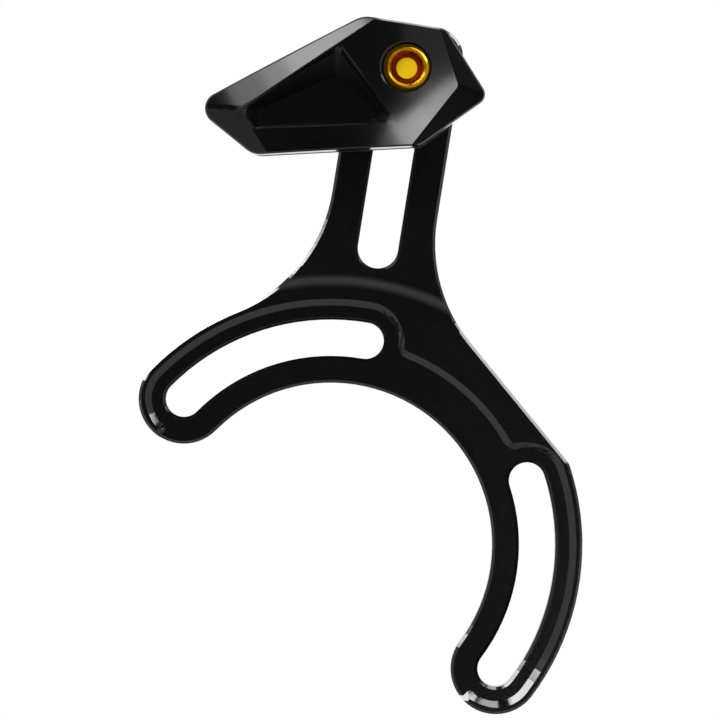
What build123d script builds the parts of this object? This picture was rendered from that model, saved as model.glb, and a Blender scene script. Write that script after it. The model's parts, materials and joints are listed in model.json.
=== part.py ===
from build123d import *
import math
import os

# Axes: X forward, Z up, -Y outboard. The origin is on the crank axis, in the
# plane where the plate meets the frame tabs. A depth is a distance outboard of
# that plane, and a polar angle is measured from X towards Z about the crank axis.

# Frame fixing: a 73 mm bolt circle with M6 bolts in curved slots
bolt_circle_diameter = 73.0
frame_slot_width = 6.4
frame_slot_span = 55.0
upper_slot_start = 80.2
lower_slot_start = -37.0

# C-shaped foot of the plate
foot_width = 15.9
plate_thickness = 4.0
shoulder_flat_angle = 39.2
shoulder_flat_cut = 2.8
shoulder_corner_radius = 2.0
edge_chamfer = 0.5
back_edge_break = 0.3

# Recessed field round the frame slots, with a 45 degree wall
recess_depth = 1.15
recess_land = 1.1
recess_bridge_inset = 1.0
recess_corner_radius = 2.5
recess_tip_corner_radius = 0.6

# Joggle: the arm stands further outboard than the foot
joggle_offset = 2.0
joggle_set_out = 0.1
joggle_length = 4.4

# Arm, radial from the crank axis
arm_angle = 80.9
arm_width = 19.0
arm_end_wall = 4.25
arm_corner_radius = 5.0
arm_fillet_radius = 27.0

# Height slot in the arm, for chainrings from the small to the large tooth count
small_ring_teeth = 26
large_ring_teeth = 36
chain_pitch = 12.7
bolt_above_chain = 10.63
slot_room_above_bolt = 1.6
slot_room_below_key = 1.4
height_slot_chamfer = 0.4

# Running gaps between the guide and the plate
face_gap = 0.1
slot_side_gap = 0.15

# Guide halves, stacked outboard from the arm's face
pad_height = 3.4
inner_wall = 3.0
channel_width = 10.0
outer_guide_thickness = 7.9
lead_in = 0.8

# Outline of the guide cage, seen from outboard: corners (X, Z) from the guide bolt, and
# their radii in the same order
rear_corner = (-36.7, -6.25)
top_corner = (-7.5, 8.75)
upper_front_corner = (6.7, 6.55)
front_corner = (14.05, -4.8)
lower_front_corner = (2.25, -13.25)
lower_rear_corner = (-26.25, -14.75)
cage_corner_radii = [2.7, 4.5, 1.5, 1.8, 2.5, 3.8]

# Crowned face of the outer half and the facets that fall away from it, (X, Z) from the guide bolt
crown_radius = 100.0
crown_centre = (-8.2, 1.65)
rear_tip_thickness = 2.7
front_tip_thickness = 2.9
crease_top = (-5.4, 8.25)
crease_rear = (-28.6, -7.05)
crease_lower_rear = (-23.8, -14.45)
crease_upper_front = (5.9, 6.25)
crease_front = (8.85, -3.15)
crease_lower_front = (0.7, -13.45)
rear_ridge_blend = 5.5
front_ridge_blend = 2.5
crease_fillet = 0.45
rim_break = 0.3
mouth_break = 0.2

# Triangular pocket in the outer half: mouth and floor corners (X, Z) from the guide bolt, and radii
pocket_mouth = [(-29.85, -7.2), (-11.6, 3.05), (-1.95, -9.2), (-26.5, -10.5)]
pocket_floor = [(-25.7, -7.1), (-12.2, -1.05), (-3.7, -8.65), (-25.6, -9.75)]
pocket_corner_radii = [1.4, 0.9, 1.2, 0.5]
pocket_floor_thickness = 3.3
pocket_depth = 3.8

# Inner half of the cage
inner_outline_setback = 0.5
roof_thickness = 2.6
roof_behind_bolt = 24.2
roof_above_chain = 5.13
boss_wall = 3.0
pad_length_above = 6.0
pad_length_below = 12.0
pad_side_margin = 0.6
pad_corner_radius = 2.0
key_height = 1.5
key_length = 10.2

# Rib on the roof, which with the bolt locates the outer half
roof_rib_height = 1.2
roof_rib_gap = 0.1
roof_rib_length = 5.0
roof_rib_width = 1.2
roof_rib_from_rear = 18.8

# Guide bolt
bolt_shank_diameter = 5.0
bolt_hole_gap = 0.25
bolt_head_overhang = 1.5
bolt_head_height = 3.8
bolt_head_chamfer = 0.7
bolt_seat_thickness = 3.7
counterbore_gap = 0.2
seat_chamfer = 0.2
bolt_tip_chamfer = 0.5
socket_across_flats = 5.0
socket_depth = 2.0
socket_cone_depth = 0.9
socket_cone_run = 0.65
socket_mouth_chamfer = 0.35

# Nut in the height slot
nut_barrel_wall = 0.9
nut_barrel_reach = 1.6
nut_flange_length = 12.0
nut_flange_grip = 1.95
nut_flange_thickness = 1.8
nut_flange_corner = 1.5
nut_edge_chamfer = 0.4
nut_thread_gap = 0.05

# Worked-out sizes of the foot and the joggle
bolt_circle_radius = bolt_circle_diameter / 2
foot_outer_radius = bolt_circle_radius + foot_width / 2
foot_inner_radius = bolt_circle_radius - foot_width / 2
foot_start_angle = lower_slot_start
foot_end_angle = upper_slot_start + frame_slot_span
shoulder_flat_distance = foot_outer_radius - shoulder_flat_cut
recess_bridge_radius = bolt_circle_radius - recess_bridge_inset
joggle_start_radius = foot_outer_radius + joggle_set_out

# Worked-out sizes of the bolt, the nut and the holes that take them
bolt_head_diameter = bolt_shank_diameter + 2 * bolt_head_overhang
bolt_hole_diameter = bolt_shank_diameter + 2 * bolt_hole_gap
boss_diameter = bolt_hole_diameter + 2 * boss_wall
slot_fill_width = bolt_shank_diameter + 2 * nut_barrel_wall
height_slot_width = slot_fill_width + 2 * slot_side_gap
nut_flange_width = height_slot_width + 2 * nut_flange_grip

# Worked-out radii along the arm, with the guide at its highest place
large_ring_radius = large_ring_teeth * chain_pitch / (2 * math.pi)
small_ring_radius = small_ring_teeth * chain_pitch / (2 * math.pi)
ring_travel = large_ring_radius - small_ring_radius
chain_room_radius = large_ring_radius + roof_above_chain
bolt_radius_from_crank = large_ring_radius + bolt_above_chain
slot_top_radius = bolt_radius_from_crank + slot_room_above_bolt
key_top_radius = slot_top_radius - slot_side_gap
key_low_radius = key_top_radius - key_length
slot_low_radius = key_low_radius - ring_travel - slot_room_below_key - slot_side_gap
arm_end_radius = slot_top_radius + height_slot_width / 2 + arm_end_wall

# Worked-out depths
arm_face_depth = plate_thickness + joggle_offset
pad_face_depth = arm_face_depth + face_gap
wall_depth = pad_face_depth + pad_height
channel_inner_depth = wall_depth + inner_wall
channel_outer_depth = channel_inner_depth + channel_width
crown_depth = channel_outer_depth + outer_guide_thickness
rear_tip_depth = channel_outer_depth + rear_tip_thickness
front_tip_depth = channel_outer_depth + front_tip_thickness
pocket_floor_depth = channel_outer_depth + pocket_floor_thickness
bolt_seat_depth = channel_outer_depth + bolt_seat_thickness
nut_face_depth = joggle_offset - face_gap
nut_back_depth = nut_face_depth - nut_flange_thickness

# Helpers for cutting and for finding edges
cutting_reach = arm_end_radius
overcut = 0.3
tolerance = 0.01
BEHIND = (Align.MAX, Align.CENTER)


def polar(radius, angle):
    """Point (X, Z) at a polar angle in degrees about the crank axis."""
    turn = math.radians(angle)
    return (radius * math.cos(turn), radius * math.sin(turn))


def level(depth):
    """Sketch plane at a depth: its x is X, its y is Z and it faces outboard."""
    return Plane((0, -depth, 0), x_dir=(1, 0, 0), z_dir=(0, -1, 0))


def block(sketch, start, end):
    """Solid of a flat X-Z sketch between two depths."""
    return extrude(level(start) * sketch, end - start)


def spread(sketch, start, height):
    """Solid of a sketch whose walls lean out at 45 degrees as it rises outboard."""
    return extrude(level(start) * sketch, height, taper=-45)


def arc_slot(start, span, width):
    """Curved slot on the bolt circle, with round ends."""
    return SlotArc(CenterArc((0, 0), bolt_circle_radius, start, span), width)


def along_arm(radius):
    """Location on the arm's axis, with x outward along the arm."""
    return Pos(*polar(radius, arm_angle)) * Rot(0, 0, arm_angle)


def arm_slot(low_radius, high_radius, width):
    """Straight slot along the arm's axis, between the centres of its round ends."""
    middle = (low_radius + high_radius) / 2
    return along_arm(middle) * SlotCenterToCenter(high_radius - low_radius, width)


def plate_outline():
    """Outline of the foot and the arm, seen from outboard."""
    foot = arc_slot(foot_start_angle, foot_end_angle - foot_start_angle, foot_width)
    flat = Rot(0, 0, shoulder_flat_angle) * Pos(shoulder_flat_distance, 0)
    foot -= flat * Rectangle(foot_width, 2 * foot_outer_radius, align=(Align.MIN, Align.CENTER))
    arm_length = arm_end_radius - bolt_circle_radius
    arm = along_arm(bolt_circle_radius + arm_length / 2) * RectangleRounded(
        arm_length, arm_width, arm_corner_radius
    )
    lean = math.radians(arm_angle - shoulder_flat_angle)
    corner_radius = (shoulder_flat_distance - arm_width / 2 * math.sin(lean)) / math.cos(lean)
    corner_turn = math.degrees(math.atan2(arm_width / 2, corner_radius))
    corner = polar(math.hypot(corner_radius, arm_width / 2), arm_angle - corner_turn)
    flat_middle = polar(shoulder_flat_distance, shoulder_flat_angle)
    arm_root = polar(bolt_circle_radius, arm_angle)
    gusset = make_face(Polyline(corner, flat_middle, arm_root, close=True))
    outline = foot + arm + gusset
    left_root = polar(
        foot_outer_radius, arm_angle + math.degrees(math.asin(arm_width / 2 / foot_outer_radius))
    )
    flat_half_turn = math.degrees(math.acos(shoulder_flat_distance / foot_outer_radius))
    low_corner = polar(foot_outer_radius, shoulder_flat_angle - flat_half_turn)
    for point, radius in (
        (corner, arm_fillet_radius),
        (left_root, arm_fillet_radius),
        (low_corner, shoulder_corner_radius),
    ):
        vertex = outline.vertices().sort_by_distance((*point, 0))[0]
        outline = fillet(vertex, radius)
    return outline


def joggled_blank():
    """Round blank with the joggle turned into both faces."""
    inner = foot_inner_radius / 2
    outer = arm_end_radius + cutting_reach
    first = joggle_start_radius
    last = joggle_start_radius + joggle_length

    def side(depth):
        middle = ((first + last) / 2, depth + joggle_offset / 2)
        return [
            Line((inner, depth), (first, depth)),
            TangentArc((first, depth), middle, tangent=(1, 0)),
            TangentArc((last, depth + joggle_offset), middle, tangent=(-1, 0)),
            Line((last, depth + joggle_offset), (outer, depth + joggle_offset)),
        ]

    ends = [
        Line((inner, 0), (inner, plate_thickness)),
        Line((outer, joggle_offset), (outer, arm_face_depth)),
    ]
    profile = make_face(side(0) + side(plate_thickness) + ends)
    section = Plane((0, 0, 0), x_dir=(1, 0, 0), z_dir=(0, 0, -1)) * profile
    seam_angle = (foot_start_angle + foot_end_angle) / 2 + 180
    return Rot(0, -seam_angle, 0) * revolve(section, Axis.Y)


def tip_centres():
    """Centres of the foot's two round tips."""
    return [polar(bolt_circle_radius, angle) for angle in (foot_start_angle, foot_end_angle)]


def depth_of(edge):
    """Depth of an edge's middle."""
    return -edge.center().Y


def is_arc(edge, centre, radius):
    """True for an arc of this radius about this (X, Z) centre."""
    if edge.geom_type != GeomType.CIRCLE:
        return False
    off_centre = math.hypot(edge.arc_center.X - centre[0], edge.arc_center.Z - centre[1])
    return off_centre < tolerance and abs(edge.radius - radius) < tolerance


def recess_floor():
    """Floor of the recessed field: round both slots, and open to the inside of the foot."""
    field_width = foot_width - 2 * (recess_land + recess_depth)
    floor = Circle(recess_bridge_radius)
    for start in (lower_slot_start, upper_slot_start):
        floor += arc_slot(start, frame_slot_span, field_width)
    corners = [
        vertex
        for vertex in floor.vertices()
        if abs(math.hypot(vertex.X, vertex.Y) - recess_bridge_radius) < tolerance
    ]
    for corner in corners:
        angle = math.degrees(math.atan2(corner.Y, corner.X))
        between = lower_slot_start + frame_slot_span < angle < upper_slot_start
        radius = recess_corner_radius if between else recess_tip_corner_radius
        floor = fillet(floor.vertices().sort_by_distance(corner)[0], radius)
    return floor


def backplate():
    """Machined plate: foot, joggle, arm, slots and recessed field."""
    plate = joggled_blank() & block(plate_outline(), -overcut, arm_face_depth + overcut)
    joggle_radii = [joggle_start_radius + joggle_length * part for part in (0, 0.5, 1)]
    rim = [
        edge
        for edge in plate.edges()
        if depth_of(edge) > plate_thickness - tolerance
        and not any(is_arc(edge, (0, 0), radius) for radius in joggle_radii)
    ]
    plate = chamfer(rim, edge_chamfer)
    back_rim = [
        edge
        for edge in plate.edges().filter_by(Axis.Y, reverse=True)
        if depth_of(edge) < joggle_offset + tolerance
        and not any(is_arc(edge, (0, 0), radius) for radius in joggle_radii)
    ]
    plate = chamfer(back_rim, back_edge_break)

    floor_depth = plate_thickness - recess_depth
    plate -= spread(recess_floor(), floor_depth, recess_depth + overcut)
    floor_rim = [
        edge
        for edge in plate.edges()
        if abs(depth_of(edge) - floor_depth) < tolerance
        and (
            is_arc(edge, (0, 0), foot_inner_radius)
            or any(is_arc(edge, tip, foot_width / 2) for tip in tip_centres())
        )
    ]
    plate = chamfer(floor_rim, edge_chamfer)

    for start in (lower_slot_start, upper_slot_start):
        slot = arc_slot(start, frame_slot_span, frame_slot_width)
        plate -= block(slot, -overcut, plate_thickness)
        plate -= spread(slot, floor_depth - edge_chamfer, edge_chamfer + overcut)
    height_slot = arm_slot(slot_low_radius, slot_top_radius, height_slot_width)
    plate -= block(height_slot, 0, arm_face_depth + overcut)
    plate -= spread(height_slot, arm_face_depth - height_slot_chamfer, height_slot_chamfer + overcut)
    return plate


def from_bolt(point, depth=0):
    """Point (X, Y, Z) of a place given from the guide bolt's axis."""
    bolt = polar(bolt_radius_from_crank, arm_angle)
    return Vector(bolt[0] + point[0], -depth, bolt[1] + point[1])


def beside_bolt(sketch):
    """Sketch drawn upright about the guide bolt, moved to the bolt's axis."""
    return Pos(*polar(bolt_radius_from_crank, arm_angle)) * sketch


def at_bolt(sketch):
    """Sketch moved to the guide bolt's axis, with x outward along the arm."""
    return along_arm(bolt_radius_from_crank) * sketch


def rounded(corners, radii):
    """Polygon of a list of corners, each rounded by its own radius."""
    outline = make_face(Polyline(*corners, close=True))
    for corner, radius in zip(corners, radii):
        outline = fillet(outline.vertices().sort_by_distance((*corner, 0))[0], radius)
    return outline


def cage_outline(setback=0):
    """Outline of the guide cage about the bolt, drawn in by a setback."""
    corners = [
        rear_corner, top_corner, upper_front_corner, front_corner, lower_front_corner, lower_rear_corner
    ]
    outline = rounded(corners, cage_corner_radii)
    return offset(outline, -setback) if setback else outline


def crown(point):
    """Point (X, Y, Z) on the crowned face above a place given from the guide bolt."""
    away = math.dist(point, crown_centre)
    return from_bolt(point, crown_depth - crown_radius + math.sqrt(crown_radius**2 - away**2))


def foot_of(point, first, second):
    """Foot of the perpendicular from a point to the line through two others, all (X, Z)."""
    run = (second[0] - first[0], second[1] - first[1])
    share = ((point[0] - first[0]) * run[0] + (point[1] - first[1]) * run[1]) / math.hypot(*run) ** 2
    return (first[0] + run[0] * share, first[1] + run[1] * share)


def facet_barrel(first, second, rim, rim_depth):
    """Barrel whose side is a facet: it follows the crown along a crease and falls to a rim point."""
    middle = foot_of(crown_centre, first, second)
    along = from_bolt(second) - from_bolt(first)
    fall = from_bolt(rim, rim_depth) - crown(foot_of(rim, first, second))
    normal = along.cross(fall).normalized()
    if normal.Y > 0:
        normal = -normal
    curve_radius = math.sqrt(crown_radius**2 - math.dist(crown_centre, middle) ** 2)
    radius = curve_radius * fall.length / math.hypot(fall.X, fall.Z)
    axis = Plane(crown(middle) - normal * radius, x_dir=along, z_dir=fall)
    return axis * Cylinder(radius, 2 * cutting_reach)


def pocket():
    """Blind three-sided pocket, carried on past the crowned face."""
    reach = (crown_depth + overcut - pocket_floor_depth) / pocket_depth
    sections = []
    for share, depth in ((0, pocket_floor_depth), (reach, crown_depth + overcut)):
        corners = []
        for floor, mouth in zip(pocket_floor, pocket_mouth):
            corners.append(tuple(f + (m - f) * share for f, m in zip(floor, mouth)))
        sections.append(level(depth) * beside_bolt(rounded(corners, pocket_corner_radii)))
    return loft(sections)


def rim_at(body, depth):
    """Edges of a body that lie at one depth."""
    return [edge for edge in body.edges() if abs(depth_of(edge) - depth) < tolerance]


def outboard_rim(body):
    """Edges at the outboard ends of the outer half's side walls."""
    walls = [face for face in body.faces() if abs(face.normal_at().Y) < tolerance]
    return [
        edge
        for wall in walls
        for edge in wall.edges().filter_by(Axis.Y, reverse=True)
        if depth_of(edge) > channel_outer_depth + lead_in
    ]


def crowned_face(body):
    """Crowned face of the outer half."""
    return body.faces().filter_by(GeomType.SPHERE).sort_by(SortBy.AREA)[-1]


def bolt_hole():
    """Clearance hole for the bolt's shank."""
    return at_bolt(Circle(bolt_hole_diameter / 2))


def roof_rib(gap=0):
    """Rib in the middle of the roof's rear slope, or its socket where a gap goes round it."""
    slope = math.atan2(top_corner[1] - rear_corner[1], top_corner[0] - rear_corner[0])
    inset = inner_outline_setback + roof_thickness / 2
    rib = Rectangle(roof_rib_length + 2 * gap, roof_rib_width + 2 * gap)
    on_slope = Pos(*rear_corner) * Rot(0, 0, math.degrees(slope)) * Pos(roof_rib_from_rear, -inset)
    return beside_bolt(on_slope * rib)


def outer_guide():
    """Outer half of the cage: crowned face, facets, pocket and bolt seat."""
    blank = beside_bolt(Rectangle(cutting_reach, cutting_reach))
    body = block(blank, channel_outer_depth, crown_depth + overcut)
    body &= facet_barrel(crease_rear, crease_top, rear_corner, rear_tip_depth)
    body &= facet_barrel(crease_rear, crease_lower_rear, rear_corner, rear_tip_depth)
    body &= facet_barrel(crease_upper_front, crease_front, front_corner, front_tip_depth)
    body &= facet_barrel(crease_front, crease_lower_front, front_corner, front_tip_depth)
    for crease, radius in ((crease_rear, rear_ridge_blend), (crease_front, front_ridge_blend)):
        body = fillet(body.edges().sort_by_distance(crown(crease))[0], radius)
    body &= Pos(from_bolt(crown_centre, crown_depth - crown_radius)) * Sphere(crown_radius)
    body &= block(beside_bolt(cage_outline()), channel_outer_depth, crown_depth)
    rim = outboard_rim(body)
    creases = [edge for edge in crowned_face(body).edges() if not any(edge.is_same(other) for other in rim)]
    body = fillet(creases, crease_fillet)
    body = chamfer(outboard_rim(body), rim_break)
    body = chamfer(rim_at(body, channel_outer_depth), lead_in)

    body -= pocket()
    mouth = crowned_face(body).inner_wires()[0].edges()
    body = chamfer(mouth, mouth_break)
    seat = at_bolt(Circle(bolt_head_diameter / 2 + counterbore_gap))
    body -= block(seat, bolt_seat_depth, crown_depth + overcut)
    seat_mouth_depth = -crown((0, 0)).Y
    body -= spread(seat, seat_mouth_depth - seat_chamfer, seat_chamfer + overcut)
    body -= block(bolt_hole(), channel_outer_depth, bolt_seat_depth)
    rib_socket_end = channel_outer_depth + roof_rib_height + roof_rib_gap
    body -= block(roof_rib(roof_rib_gap), channel_outer_depth, rib_socket_end)
    return body


def inner_guide():
    """Inner half of the cage: wall, roof over the chain, bolt boss, pad and slot key."""
    outline = beside_bolt(cage_outline(inner_outline_setback))
    wall = block(outline, wall_depth, channel_inner_depth)
    wall = chamfer(rim_at(wall, channel_inner_depth), lead_in)
    wall = chamfer(rim_at(wall, wall_depth), edge_chamfer)

    roof = outline - offset(outline, -roof_thickness)
    roof -= Circle(chain_room_radius)
    roof -= beside_bolt(Pos(-roof_behind_bolt, 0) * Rectangle(cutting_reach, cutting_reach, align=BEHIND))
    boss = at_bolt(Circle(boss_diameter / 2))
    body = wall + block(roof + boss, channel_inner_depth - lead_in, channel_outer_depth)

    pad_length = pad_length_above + pad_length_below
    pad = RectangleRounded(pad_length, arm_width - 2 * pad_side_margin, pad_corner_radius)
    pad = at_bolt(Pos((pad_length_above - pad_length_below) / 2, 0) * pad)
    body += block(pad & outline, pad_face_depth, wall_depth)
    key = arm_slot(key_low_radius, key_top_radius, slot_fill_width)
    body += block(key, arm_face_depth - key_height, pad_face_depth)

    body += block(roof_rib(), channel_outer_depth, channel_outer_depth + roof_rib_height)
    body -= block(bolt_hole(), 0, channel_outer_depth)
    return body


def guide_bolt():
    """Socket-head bolt that clamps both halves to the arm."""
    head_top = bolt_seat_depth + bolt_head_height
    head = block(at_bolt(Circle(bolt_head_diameter / 2)), bolt_seat_depth, head_top)
    head = chamfer(rim_at(head, head_top), bolt_head_chamfer)
    shank = block(at_bolt(Circle(bolt_shank_diameter / 2)), nut_back_depth, bolt_seat_depth)
    shank = chamfer(rim_at(shank, nut_back_depth), bolt_tip_chamfer)
    body = head + shank

    socket_floor = head_top - socket_depth
    hexagon = at_bolt(RegularPolygon(socket_across_flats / 2, 6, major_radius=False))
    body -= block(hexagon, socket_floor, head_top + overcut)
    mouth = at_bolt(Circle(socket_across_flats / 2 / math.cos(math.pi / 6)))
    body -= spread(mouth, head_top - socket_mouth_chamfer, socket_mouth_chamfer + overcut)
    cone_floor = at_bolt(Circle(socket_across_flats / 2 - socket_cone_run))
    lean = math.degrees(math.atan2(socket_cone_run, socket_cone_depth))
    body -= extrude(level(socket_floor - socket_cone_depth) * cone_floor, socket_cone_depth, taper=-lean)
    return body


def slot_nut():
    """Nut with a flange behind the arm and flats that stop it turning in the slot."""
    flange = Rectangle(nut_flange_length, nut_flange_width)
    flange = chamfer(flange.vertices(), nut_flange_corner)
    body = block(at_bolt(flange), nut_back_depth, nut_face_depth)
    body = chamfer(rim_at(body, nut_back_depth), nut_edge_chamfer)
    barrel = arm_slot(bolt_radius_from_crank - nut_barrel_reach, key_top_radius, slot_fill_width)
    barrel_top = arm_face_depth - key_height - face_gap
    body += block(barrel, nut_face_depth, barrel_top)
    thread = at_bolt(Circle(bolt_shank_diameter / 2 + nut_thread_gap))
    body -= block(thread, nut_back_depth, barrel_top)
    return body


os.makedirs("parts", exist_ok=True)
for make in (backplate, inner_guide, outer_guide, guide_bolt, slot_nut):
    part = make()
    export_step(part, f"parts/{make.__name__}.step")
    print(make.__name__, round(part.volume, 1), "mm3")
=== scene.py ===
"""Chain guide on a white sweep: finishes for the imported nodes, studio light and the photograph's camera."""
import json
import math

import bpy
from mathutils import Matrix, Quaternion, Vector

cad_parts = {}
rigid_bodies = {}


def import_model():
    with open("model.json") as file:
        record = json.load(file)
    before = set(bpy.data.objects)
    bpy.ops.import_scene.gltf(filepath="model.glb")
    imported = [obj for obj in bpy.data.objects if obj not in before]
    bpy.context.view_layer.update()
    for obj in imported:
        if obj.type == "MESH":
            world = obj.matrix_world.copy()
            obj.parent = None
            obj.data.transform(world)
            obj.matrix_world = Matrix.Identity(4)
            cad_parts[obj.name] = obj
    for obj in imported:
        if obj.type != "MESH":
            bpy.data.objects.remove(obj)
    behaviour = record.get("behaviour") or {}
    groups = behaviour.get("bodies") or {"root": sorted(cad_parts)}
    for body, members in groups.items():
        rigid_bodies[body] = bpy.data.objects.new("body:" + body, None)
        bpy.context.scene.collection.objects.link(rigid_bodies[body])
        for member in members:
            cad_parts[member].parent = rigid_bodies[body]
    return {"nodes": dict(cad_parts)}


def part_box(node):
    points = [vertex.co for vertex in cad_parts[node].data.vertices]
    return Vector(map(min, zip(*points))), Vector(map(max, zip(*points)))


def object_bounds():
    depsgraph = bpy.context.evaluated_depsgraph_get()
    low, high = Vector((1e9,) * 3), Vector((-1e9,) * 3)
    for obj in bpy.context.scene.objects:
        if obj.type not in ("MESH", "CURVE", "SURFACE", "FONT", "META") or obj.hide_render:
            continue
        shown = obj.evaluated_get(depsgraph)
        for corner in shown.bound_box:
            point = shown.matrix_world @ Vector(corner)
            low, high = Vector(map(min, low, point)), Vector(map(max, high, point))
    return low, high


MM = 0.001

for leftover in list(bpy.data.objects):
    bpy.data.objects.remove(leftover)
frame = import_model()
cad_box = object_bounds()
bpy.ops.object.select_all(action="DESELECT")


class Wire:
    """One output socket. Arithmetic on it adds Math nodes to its tree."""

    def __init__(self, finish, socket):
        self.finish = finish
        self.socket = socket

    def math(self, operation, *others):
        """Math node on this value and others."""
        inputs = dict(enumerate((self, *others)))
        return self.finish.add("ShaderNodeMath", {"operation": operation}, inputs)

    def __add__(self, other):
        return self.math("ADD", other)

    def __sub__(self, other):
        return self.math("SUBTRACT", other)

    def __rsub__(self, other):
        return self.math("MULTIPLY_ADD", -1.0, other)

    def __mul__(self, other):
        return self.math("MULTIPLY", other)

    __radd__ = __add__
    __rmul__ = __mul__


class Finish:
    """Node tree of one material or of the world."""

    def __init__(self, owner):
        owner.use_nodes = True
        self.tree = owner.node_tree
        self.tree.nodes.clear()

    def add(self, kind, settings=None, inputs=None, output=0):
        """Adds a node: its settings first, then the values or links of its sockets."""
        node = self.tree.nodes.new(kind)
        for name, value in (settings or {}).items():
            setattr(node, name, value)
        for name, value in (inputs or {}).items():
            if isinstance(value, Wire):
                self.tree.links.new(value.socket, node.inputs[name])
            else:
                node.inputs[name].default_value = value
        return Wire(self, node.outputs[output]) if node.outputs else node

    def place(self):
        """Object coordinates, which are the part's own frame in metres."""
        return self.add("ShaderNodeTexCoord", output="Object")

    def axes(self, vector):
        """The three numbers of a vector."""
        split = self.add("ShaderNodeSeparateXYZ", inputs={0: vector})
        return [Wire(self, split.socket.node.outputs[axis]) for axis in "XYZ"]

    def noise(self, place, size, detail=2.0):
        """Noise between 0 and 1 whose grains are about one size across, in metres."""
        inputs = {"Vector": place, "Scale": 1 / size, "Detail": detail}
        return self.add("ShaderNodeTexNoise", {"noise_dimensions": "3D"}, inputs)

    def between(self, value, low, high):
        """0 below low, 1 above high and smooth in between."""
        settings = {"interpolation_type": "SMOOTHSTEP"}
        return self.add("ShaderNodeMapRange", settings, {0: value, 1: low, 2: high})

    def tint(self, factor, first, second):
        """Colour that goes from the first to the second."""
        inputs = {0: factor, 6: first, 7: second}
        return self.add("ShaderNodeMix", {"data_type": "RGBA"}, inputs, output=2)

    def blend(self, factor, first, second):
        """Vector that goes from the first to the second."""
        inputs = {0: factor, 4: first, 5: second}
        return self.add("ShaderNodeMix", {"data_type": "VECTOR"}, inputs, output=1)

    def bump(self, height, distance, strength, normal=None):
        """Normal of a fine relief, on the surface's own normal or on a given one."""
        inputs = {"Height": height, "Distance": distance, "Strength": strength}
        if normal:
            inputs["Normal"] = normal
        return self.add("ShaderNodeBump", inputs=inputs)

    def surface(self, shader):
        """Material output."""
        self.add("ShaderNodeOutputMaterial", inputs={"Surface": shader})


def grey(level):
    return (level, level, level, 1.0)


def new_finish(name):
    material = bpy.data.materials.new(name)
    return material, Finish(material)


# Plate: sizes of its bends and of the tips of its recess
PLATE_THICKNESS = 4.0 * MM
JOGGLE_OFFSET = 2.0 * MM
JOGGLE_MIDDLE = 46.6 * MM
JOGGLE_REACH = 2.2 * MM
JOGGLE_BEND = (JOGGLE_REACH ** 2 + (JOGGLE_OFFSET / 2) ** 2) / JOGGLE_OFFSET
JOGGLE_END = JOGGLE_REACH + 0.5 * MM
JOGGLE_FADE = 0.1 * MM
FRAME_SLOT_RADIUS = 36.5 * MM
TIP_ENDS = ((math.radians(-37.0), -1.0), (math.radians(135.2), 1.0))
RECESS_FLOOR_Y = -2.85 * MM
FIELD_RADIUS = 5.7 * MM
WALL_SLOPE = math.sqrt(0.5)

# How far the mesh may lie off these surfaces, and how squarely its faces look along the crank axis
FACET_ERROR = 0.1 * MM
WALL_ERROR = 0.25 * MM
ERROR_FADE = 1.5
CHAMFER_FACING = (0.4, 0.5)
FLAT_FACING = (0.93, 0.97)


def tip_wall(f, place, facing, angle, turn):
    """Where the recess wall goes round the outer end of a frame slot, and its normal there."""
    x, y, z = f.axes(place)
    across = x - FRAME_SLOT_RADIUS * math.cos(angle)
    upward = z - FRAME_SLOT_RADIUS * math.sin(angle)
    radius = (across * across + upward * upward).math("SQRT")
    past_end = upward * (turn * math.cos(angle)) - across * (turn * math.sin(angle))
    off_wall = (radius + y - (FIELD_RADIUS + RECESS_FLOOR_Y)).math("ABSOLUTE")
    sloped = f.between(facing, *CHAMFER_FACING) * (1 - f.between(facing, *FLAT_FACING))
    on_cone = 1 - f.between(off_wall, WALL_ERROR, ERROR_FADE * WALL_ERROR)
    near = on_cone * f.between(past_end, -FACET_ERROR, FACET_ERROR)
    outboard = 1 - f.between(y, RECESS_FLOOR_Y + FACET_ERROR, RECESS_FLOOR_Y + 2 * FACET_ERROR)
    inward = radius.math("POWER", -1.0) * -WALL_SLOPE
    normal = f.add("ShaderNodeCombineXYZ", inputs={0: across * inward, 1: -WALL_SLOPE, 2: upward * inward})
    return sloped * near * outboard, normal


def machined_normal(f, place):
    """Normal of the plate: flat faces and chamfers are true, the bends and the recess's tips are round."""
    x, y, z = f.axes(place)
    smooth = f.add("ShaderNodeNewGeometry", output="Normal")
    flat = Wire(f, smooth.socket.node.outputs["True Normal"])
    facing = f.axes(flat)[1].math("ABSOLUTE")
    normal = f.blend(f.between(facing, *CHAMFER_FACING), smooth, flat)
    for angle, turn in TIP_ENDS:
        on_wall, round_wall = tip_wall(f, place, facing, angle, turn)
        normal = f.blend(on_wall, normal, round_wall)
    radius = (x * x + z * z).math("SQRT")
    off_middle = (radius - JOGGLE_MIDDLE).math("ABSOLUTE")
    lean = ((JOGGLE_REACH - off_middle) * (1 / JOGGLE_BEND)).math("MAXIMUM", 0.0)
    rise = (1 - lean * lean).math("SQRT")
    climb = (1 - rise) * JOGGLE_BEND
    past_middle = radius.math("GREATER_THAN", JOGGLE_MIDDLE)
    offset = climb + past_middle * (JOGGLE_OFFSET - climb * 2)
    depth = y + offset + PLATE_THICKNESS / 2
    inboard = depth.math("SIGN")
    outward = (lean * inboard).math("DIVIDE", radius)
    bend = f.add("ShaderNodeCombineXYZ", inputs={0: outward * x, 1: rise * inboard, 2: outward * z})
    off_face = (depth.math("ABSOLUTE") - PLATE_THICKNESS / 2).math("ABSOLUTE")
    near = 1 - f.between(off_middle, JOGGLE_END, JOGGLE_END + JOGGLE_FADE)
    on_face = 1 - f.between(off_face, FACET_ERROR, ERROR_FADE * FACET_ERROR)
    return f.blend(near * on_face, normal, bend)


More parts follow.
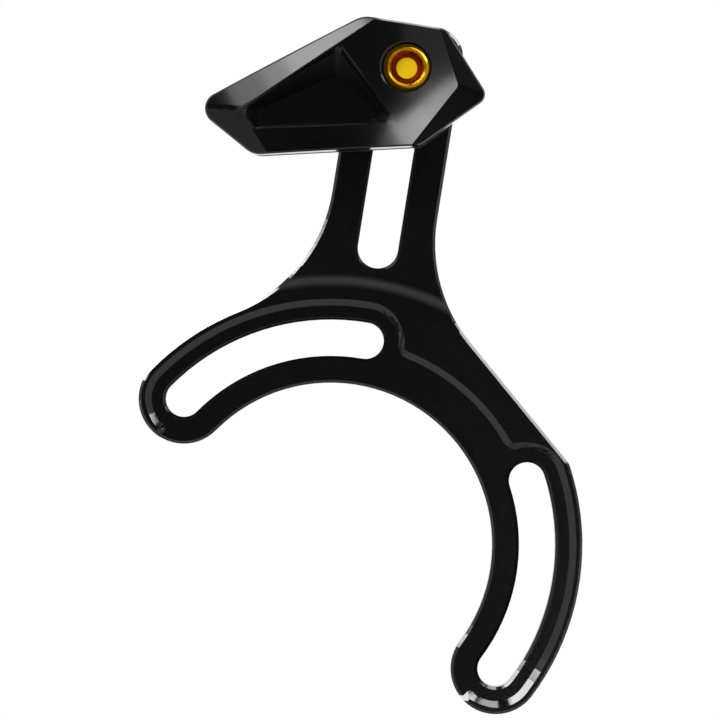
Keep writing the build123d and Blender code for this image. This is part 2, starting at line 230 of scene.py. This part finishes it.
OXIDE_IOR = 1.7
PLATE_TONES = (grey(0.0042), grey(0.006))
PLATE_GRAIN = 0.12 * MM
PLATE_CLOUD = 9 * MM
PLATE_ROUGHNESS = 0.085
PLATE_UNEVENNESS = 0.02
PLATE_RELIEF = 0.002 * MM
PLATE_RELIEF_STRENGTH = 0.1


def anodised_black():
    """Machined and black anodised aluminium, satin."""
    material, f = new_finish("anodised_black")
    place = f.place()
    grain = f.noise(place, PLATE_GRAIN, detail=1.0)
    cloud = f.noise(place, PLATE_CLOUD, detail=3.0)
    shader = f.add(
        "ShaderNodeBsdfPrincipled",
        inputs={
            "Base Color": f.tint(cloud, *PLATE_TONES),
            "Roughness": cloud * PLATE_UNEVENNESS + grain * PLATE_UNEVENNESS + PLATE_ROUGHNESS,
            "IOR": OXIDE_IOR,
            "Normal": f.bump(grain, PLATE_RELIEF, PLATE_RELIEF_STRENGTH, machined_normal(f, place)),
        },
    )
    f.surface(shader)
    return material


# Corners of the pocket's mouth as x and z in millimetres, in clockwise order as the photograph shows them
POCKET_MOUTH = ((-16.66, 75.15), (1.59, 85.4), (11.24, 73.15), (-13.31, 71.85))
POCKET_FLOOR_Y = -25.8 * MM
MOUTH_EDGE = 0.3 * MM


def pocket_wall(f, place):
    """1 on the walls of the outer guide's pocket and 0 elsewhere."""
    x, y, z = f.axes(place)
    inside = 1 - f.between(y, POCKET_FLOOR_Y - MOUTH_EDGE, POCKET_FLOOR_Y)
    for corner, following in zip(POCKET_MOUTH, POCKET_MOUTH[1:] + POCKET_MOUTH[:1]):
        run = (Vector(following) - Vector(corner)).normalized()
        inward = (x - corner[0] * MM) * run.y - (z - corner[1] * MM) * run.x
        inside = inside * f.between(inward, 0.0, MOUTH_EDGE)
    return inside


NYLON_IOR = 1.5
NYLON_TONES = (grey(0.004), grey(0.0055))
NYLON_GRAIN = 0.22 * MM
NYLON_CLOUD = 7 * MM
NYLON_UNEVENNESS = 0.02
NYLON_RELIEF = 0.004 * MM
NYLON_RELIEF_STRENGTH = 0.15
POLISHED_ROUGHNESS = 0.09
TEXTURED_ROUGHNESS = 0.55
POCKET_DULLNESS = 0.28


def moulded_black(name, roughness):
    """Black nylon from a polished or textured mould, and duller on the pocket's walls."""
    material, f = new_finish(name)
    place = f.place()
    grain = f.noise(place, NYLON_GRAIN)
    cloud = f.noise(place, NYLON_CLOUD)
    uneven = cloud * NYLON_UNEVENNESS + grain * NYLON_UNEVENNESS
    shader = f.add(
        "ShaderNodeBsdfPrincipled",
        inputs={
            "Base Color": f.tint(cloud, *NYLON_TONES),
            "Roughness": uneven + pocket_wall(f, place) * POCKET_DULLNESS + roughness,
            "IOR": NYLON_IOR,
            "Normal": f.bump(grain, NYLON_RELIEF, NYLON_RELIEF_STRENGTH),
        },
    )
    f.surface(shader)
    return material


SOCKET_FLOOR_RADIUS = 1.85 * MM
SOCKET_RADIUS = 2.9 * MM
HEAD_SEAT_Y = -26.2 * MM
SOFT_EDGE = 0.1 * MM
HEAD_TONES = ((0.85, 0.40, 0.01, 1.0), (0.95, 0.50, 0.02, 1.0))
# Painted shade: the socket's walls are coloured a dark red where shade falls in the socket
SOCKET_SHADE_TONE = (0.40, 0.05, 0.002, 1.0)
# Painted highlight: the socket's floor is coloured a bright yellow that stands in for a reflected light
SOCKET_FLOOR_HIGHLIGHT_TONE = (1.0, 0.65, 0.01, 1.0)
BOLT_METALLIC = 0.9
BOLT_GRAIN = 0.1 * MM
BOLT_CLOUD = 2 * MM
BOLT_ROUGHNESS = 0.2
BOLT_UNEVENNESS = 0.03
BLASTED_DULLNESS = 0.2
BOLT_RELIEF = 0.002 * MM
BOLT_RELIEF_STRENGTH = 0.2


def anodised_gold():
    """Turned and gold anodised aluminium: a glossy head, painted shade in the socket and a blasted, duller
    socket floor with a painted highlight.
    """
    material, f = new_finish("anodised_gold")
    place = f.place()
    x, y, z = f.axes(place)
    low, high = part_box("guide_bolt")
    across = x - (low[0] + high[0]) / 2
    upward = z - (low[2] + high[2]) / 2
    radius = (across * across + upward * upward).math("SQRT")
    in_head = 1 - f.between(y, HEAD_SEAT_Y - SOFT_EDGE, HEAD_SEAT_Y)
    # Mask of the painted shade on the socket's walls
    socket_shade_mask = (1 - f.between(radius, SOCKET_RADIUS - SOFT_EDGE, SOCKET_RADIUS)) * in_head
    on_floor = (1 - f.between(radius, SOCKET_FLOOR_RADIUS - SOFT_EDGE, SOCKET_FLOOR_RADIUS)) * in_head
    grain = f.noise(place, BOLT_GRAIN, detail=1.0)
    cloud = f.noise(place, BOLT_CLOUD)
    uneven = cloud * BOLT_UNEVENNESS + grain * BOLT_UNEVENNESS
    head = f.tint(cloud, *HEAD_TONES)
    socket = f.tint(socket_shade_mask, head, SOCKET_SHADE_TONE)
    shader = f.add(
        "ShaderNodeBsdfPrincipled",
        inputs={
            # Painted highlight on the socket floor, over the painted shade of the socket's walls
            "Base Color": f.tint(on_floor, socket, SOCKET_FLOOR_HIGHLIGHT_TONE),
            "Metallic": BOLT_METALLIC,
            "Roughness": uneven + on_floor * BLASTED_DULLNESS + BOLT_ROUGHNESS,
            "Normal": f.bump(grain, BOLT_RELIEF, BOLT_RELIEF_STRENGTH),
        },
    )
    f.surface(shader)
    return material


NUT_TONES = (grey(0.018), grey(0.03))
NUT_GRAIN = 0.15 * MM
NUT_CLOUD = 4 * MM
NUT_ROUGHNESS = 0.3
NUT_CLOUD_UNEVENNESS = 0.08
NUT_GRAIN_UNEVENNESS = 0.05
NUT_RELIEF = 0.004 * MM
NUT_RELIEF_STRENGTH = 0.25


def blackened_nut():
    """Black anodised nut, a little paler than the plate."""
    material, f = new_finish("blackened_nut")
    place = f.place()
    grain = f.noise(place, NUT_GRAIN)
    cloud = f.noise(place, NUT_CLOUD)
    shader = f.add(
        "ShaderNodeBsdfPrincipled",
        inputs={
            "Base Color": f.tint(cloud, *NUT_TONES),
            "Roughness": cloud * NUT_CLOUD_UNEVENNESS + grain * NUT_GRAIN_UNEVENNESS + NUT_ROUGHNESS,
            "IOR": OXIDE_IOR,
            "Normal": f.bump(grain, NUT_RELIEF, NUT_RELIEF_STRENGTH),
        },
    )
    f.surface(shader)
    return material


def dress(node, material):
    """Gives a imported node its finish."""
    mesh = frame["nodes"][node].data
    mesh.materials.clear()
    mesh.materials.append(material)


dress("backplate", anodised_black())
dress("inner_guide", moulded_black("textured_black", TEXTURED_ROUGHNESS))
dress("outer_guide", moulded_black("moulded_black", POLISHED_ROUGHNESS))
dress("guide_bolt", anodised_gold())
dress("slot_nut", blackened_nut())


# Camera: straight on from outboard, with a long lens
SENSOR = 36.0
PLATE_FACE_Y = -PLATE_THICKNESS
CAMERA_DISTANCE = 720 * MM
FRAME_WIDTH = 126.9 * MM
FRAME_CENTRE = (5.21 * MM, 32.56 * MM)
NEAREST_SEEN = 0.01
FURTHEST_SEEN = 20.0


def aim(thing, target, turn=0.0):
    """Points a lamp or camera at a place, turned by an angle in degrees about its own axis."""
    look = (Vector(target) - thing.location).to_track_quat("-Z", "Y")
    thing.rotation_euler = (look @ Quaternion((0, 0, 1), math.radians(turn))).to_euler()


def photo_camera():
    lens = bpy.data.cameras.new("photo_camera")
    lens.sensor_width = SENSOR
    lens.lens = SENSOR * CAMERA_DISTANCE / FRAME_WIDTH
    lens.clip_start = NEAREST_SEEN
    lens.clip_end = FURTHEST_SEEN
    camera = bpy.data.objects.new("photo_camera", lens)
    bpy.context.collection.objects.link(camera)
    target = (FRAME_CENTRE[0], PLATE_FACE_Y, FRAME_CENTRE[1])
    camera.location = (target[0], target[1] - CAMERA_DISTANCE, target[2])
    aim(camera, target)
    bpy.context.scene.camera = camera


# Lamps, in metres and degrees
EDGE_BOX_DISTANCE = 0.5
PLATE_MIDDLE = (0.0, PLATE_FACE_Y, 0.035)
BEHIND_FACE = (0.0, 0.05)
FRONT_BOX_END = -0.005
CROWN = (0.017, -0.028, 0.073)
BEVEL = (-0.0015, -0.030, 0.087)
LOW_BEAM = 60.0
LOW_TURN = 40.3
KEY_TURN = 34.0


def softbox(name, centre, target, size, radiance, beam=180.0, turn=0.0):
    """Rectangular lamp of a radiance, whose honeycomb lets out a beam of so many degrees."""
    lamp = bpy.data.lights.new(name, "AREA")
    lamp.shape = "RECTANGLE"
    lamp.size, lamp.size_y = size
    lamp.spread = math.radians(beam)
    half = lamp.spread / 2
    lamp.energy = radiance * math.pi * size[0] * size[1] * (1 - half / math.tan(half))
    box = bpy.data.objects.new(name, lamp)
    bpy.context.collection.objects.link(box)
    box.location = centre
    box.visible_camera = False
    aim(box, target, turn)


def edge_box(name, angles, depths, radiance):
    """Softbox for the plate's edges: it spans two angles about the plate's middle and two depths."""
    middle = math.radians(sum(angles) / 2)
    centre = (
        PLATE_MIDDLE[0] + EDGE_BOX_DISTANCE * math.cos(middle),
        sum(depths) / 2,
        PLATE_MIDDLE[2] + EDGE_BOX_DISTANCE * math.sin(middle),
    )
    depth = depths[1] - depths[0]
    width = 2 * EDGE_BOX_DISTANCE * math.tan(math.radians((angles[1] - angles[0]) / 2))
    softbox(name, centre, PLATE_MIDDLE, (depth, width), radiance)


def low_softbox(name, centre, size, radiance):
    """Softbox low in front, mirrored in the crown under the bolt."""
    softbox(name, centre, CROWN, size, radiance, beam=LOW_BEAM, turn=LOW_TURN)


def key_softbox(name, centre, size, radiance):
    """Softbox high in front, mirrored in the cage's upper bevel."""
    softbox(name, centre, BEVEL, size, radiance, turn=KEY_TURN)


def studio_light():
    edge_box("upper_left_box", angles=(106, 157), depths=BEHIND_FACE, radiance=16.0)
    edge_box("upper_right_box", angles=(60, 92), depths=BEHIND_FACE, radiance=4.5)
    edge_box("right_box", angles=(30, 60), depths=BEHIND_FACE, radiance=7.7)
    edge_box("left_front_box", angles=(107, 153), depths=(-0.12, FRONT_BOX_END), radiance=10.0)
    edge_box("top_front_box", angles=(42, 90), depths=(-0.15, FRONT_BOX_END), radiance=4.5)
    edge_box("right_front_box", angles=(26, 45), depths=(-0.10, FRONT_BOX_END), radiance=8.0)
    low_softbox("low_box", centre=(0.415, -1.228, -0.1277), size=(0.46, 0.288), radiance=9.0)
    low_softbox("low_tail", centre=(0.2827, -1.228, -0.2398), size=(0.268, 0.288), radiance=1.8)
    key_softbox("key_box", centre=(-0.1412, -0.470, 0.2756), size=(0.17, 0.12), radiance=3.4)
    key_softbox("key_wing", centre=(-0.1587, -0.4696, 0.2626), size=(0.232, 0.12), radiance=2.3)
    key_softbox("key_tail", centre=(-0.1896, -0.4656, 0.2407), size=(0.30, 0.12), radiance=3.3)
    softbox("fill_box", centre=(-0.36, -0.48, -0.12), target=BEVEL, size=(0.25, 0.25), radiance=0.4)
    softbox("right_fill", centre=(0.40, -1.168, 0.16), target=CROWN, size=(0.40, 0.36), radiance=0.4)


# Surroundings: levels of the world, and the directions between which it goes from one to the next
FRONT_LEVEL = 0.03
RING_LEVEL = 0.45
BACK_LEVEL = 1.0
BESIDE_Y = (-0.4, -0.1)
BELOW_Y = (-0.95, 0.0)
BACK_Y = (0.15, 0.6)
UPWARD_Z = (-0.8, -0.3)


def white_world():
    """White to the camera. Reflections see it dark in front of the part, grey beside it, white behind."""
    world = bpy.data.worlds.new("white_world")
    bpy.context.scene.world = world
    f = Finish(world)
    y, z = f.axes(f.add("ShaderNodeTexCoord", output="Generated"))[1:]
    beside = f.between(y, *BESIDE_Y)
    below = f.between(y, *BELOW_Y)
    upward = f.between(z, *UPWARD_Z)
    ring = (beside * upward + below * (1 - upward)) * (RING_LEVEL - FRONT_LEVEL)
    back = f.between(y, *BACK_Y) * (BACK_LEVEL - RING_LEVEL)
    level = ring + back + FRONT_LEVEL
    tone = f.add("ShaderNodeCombineColor", inputs={0: level, 1: level, 2: level})
    ambient = f.add("ShaderNodeBackground", inputs={"Color": tone})
    white = f.add("ShaderNodeBackground", inputs={"Color": grey(1.0)})
    camera_ray = f.add("ShaderNodeLightPath", output="Is Camera Ray")
    shader = f.add("ShaderNodeMixShader", inputs={0: camera_ray, 1: ambient, 2: white})
    f.add("ShaderNodeOutputWorld", inputs={"Surface": shader})


FLOOR_DROP = 45 * MM
FLOOR_RADIUS = 6.0
FLOOR_FRONT = 0.15
FLOOR_SIDES = 96
FLOOR_PAINT = grey(0.42)
SHADOW_REACH = (0.07, 0.14)
SOLID_Y = (-0.02, 0.08)


def white_floor():
    """Round white floor: it takes the part's shadow near the part and is plain white further off."""
    low = cad_box[0][2] - FLOOR_DROP
    middle = (0, FLOOR_RADIUS - FLOOR_FRONT, low)
    bpy.ops.mesh.primitive_circle_add(
        vertices=FLOOR_SIDES, radius=FLOOR_RADIUS, fill_type="NGON", location=middle
    )
    bpy.ops.object.transform_apply(location=True, rotation=True, scale=True)
    floor = bpy.context.object
    floor.name = "floor"
    material, f = new_finish("floor_white")
    x, y = f.axes(f.place())[:2]
    away = (x * x + y * y).math("SQRT")
    rays = f.add("ShaderNodeLightPath").socket.node.outputs
    camera_ray = Wire(f, rays["Is Camera Ray"])
    mirrored = Wire(f, rays["Is Glossy Ray"])
    refracted = Wire(f, rays["Is Transmission Ray"])
    seen = (camera_ray + mirrored + refracted).math("MINIMUM", 1.0)
    paint = f.add("ShaderNodeBsdfDiffuse", inputs={"Color": FLOOR_PAINT})
    white = f.add("ShaderNodeEmission", inputs={"Color": grey(1.0), "Strength": 1.0})
    fade = f.between(away, *SHADOW_REACH) * seen
    sweep = f.add("ShaderNodeMixShader", inputs={0: fade, 1: paint, 2: white})
    clear = f.add("ShaderNodeBsdfTransparent")
    solid = f.between(y, *SOLID_Y)
    f.surface(f.add("ShaderNodeMixShader", inputs={0: solid, 1: clear, 2: sweep}))
    floor.data.materials.append(material)


photo_camera()
studio_light()
white_world()
white_floor()
bpy.context.scene.view_settings.view_transform = "Standard"
